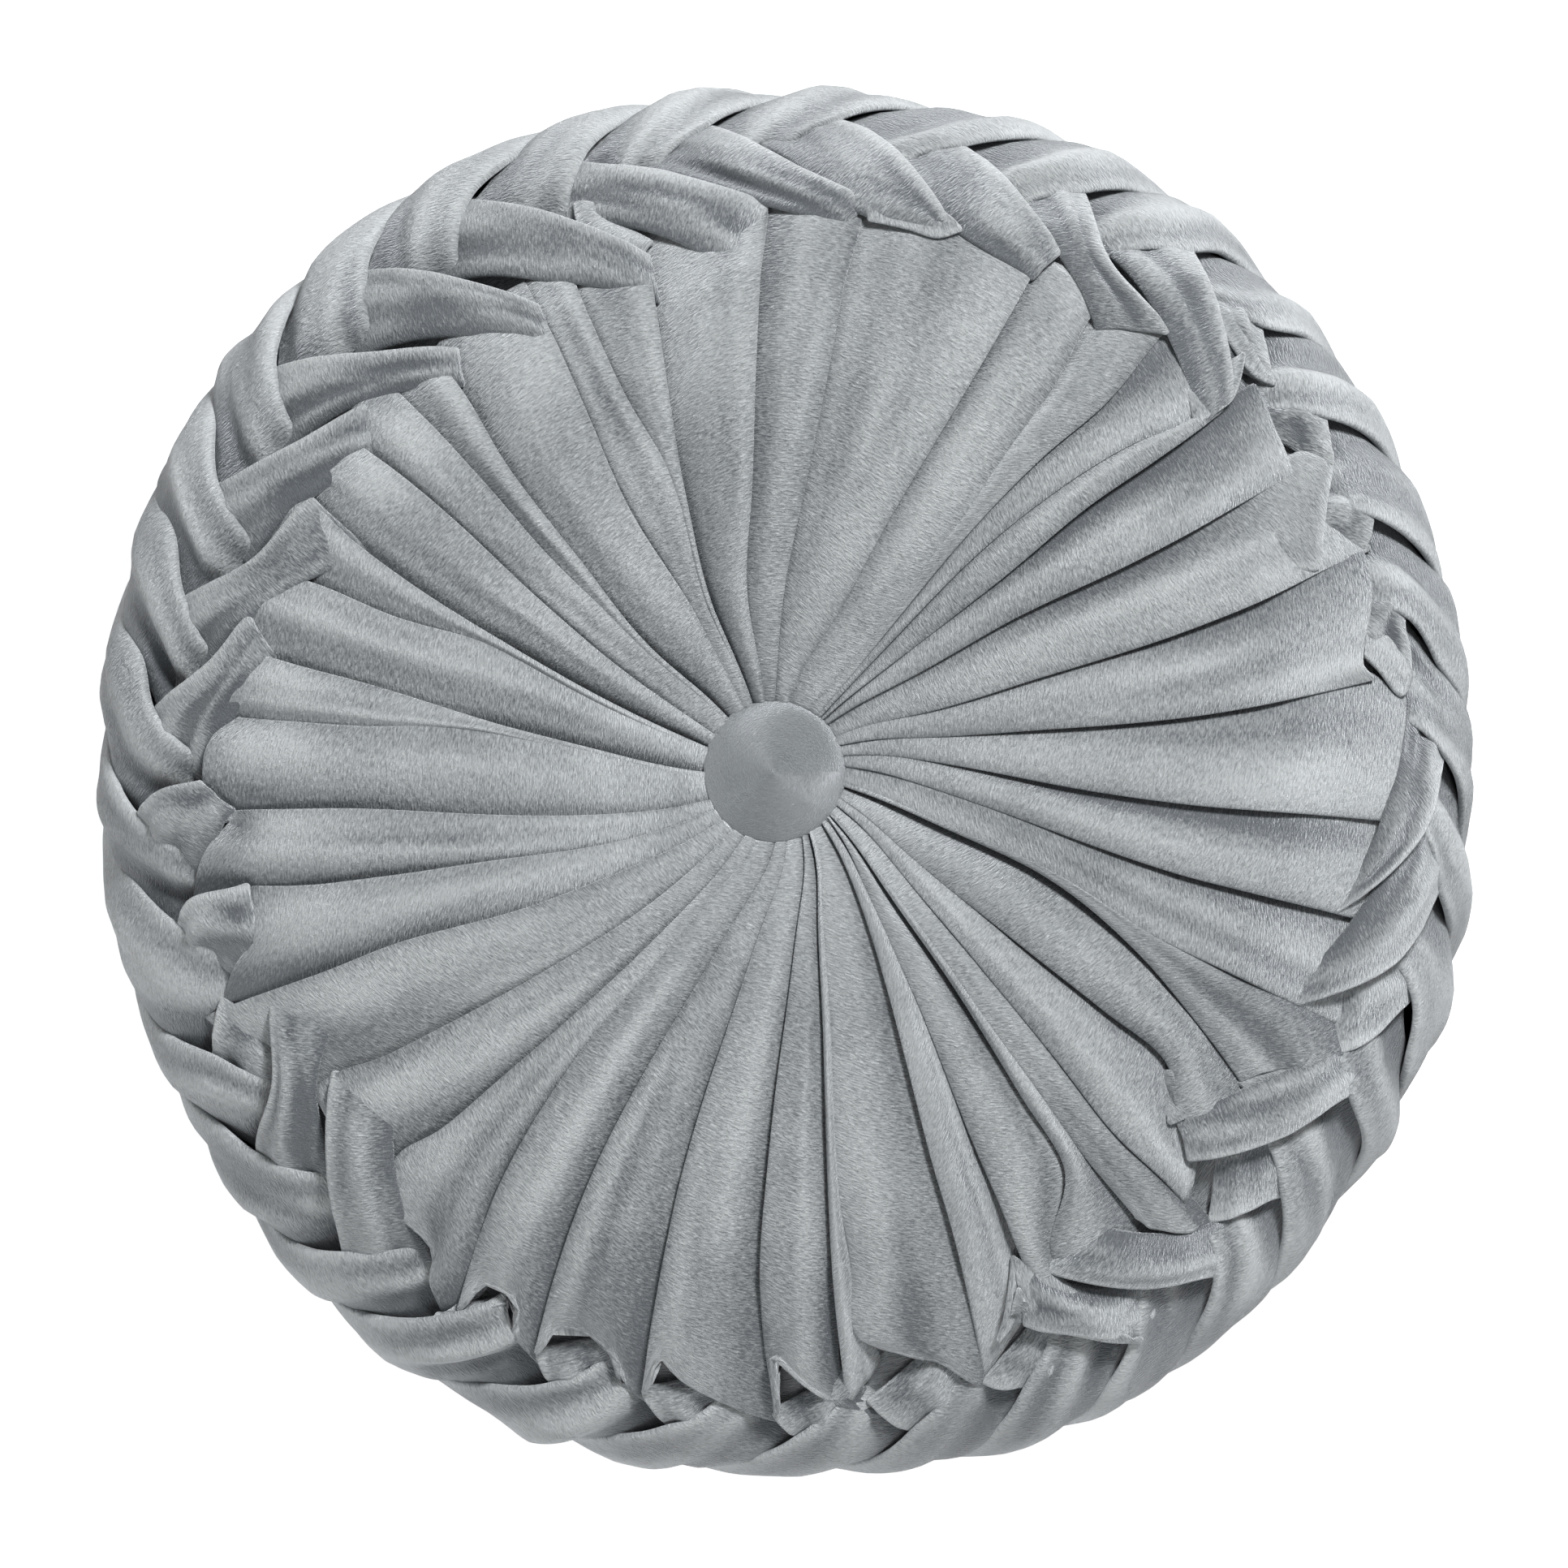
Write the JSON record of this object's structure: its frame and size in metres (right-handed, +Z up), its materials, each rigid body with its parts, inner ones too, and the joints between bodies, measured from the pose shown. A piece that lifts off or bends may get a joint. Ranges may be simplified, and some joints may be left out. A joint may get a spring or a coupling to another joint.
{
  "type": "round pleated cushion",
  "caption": "Round velvet cushion with pleats gathered to a covered button on each side and a smocked braid round its rim.",
  "frame": {"origin": "middle of the cushion's box on the surface that it lies on", "axes": "+Z up out of the front face; +Y is the top of the front face as it is usually shown"},
  "size_m": [0.3806, 0.3814, 0.105],
  "materials": {
    "cover_velvet": "short-pile blue-grey velvet, matt in the folds with a pale sheen on the fold edges",
    "button_velvet": "the same velvet stretched over a button, with a finer-looking pile"
  },
  "bodies": {
    "root": {"cushion": "cover_velvet", "front_button": "button_velvet", "back_button": "button_velvet"}
  },
  "joints": []
}
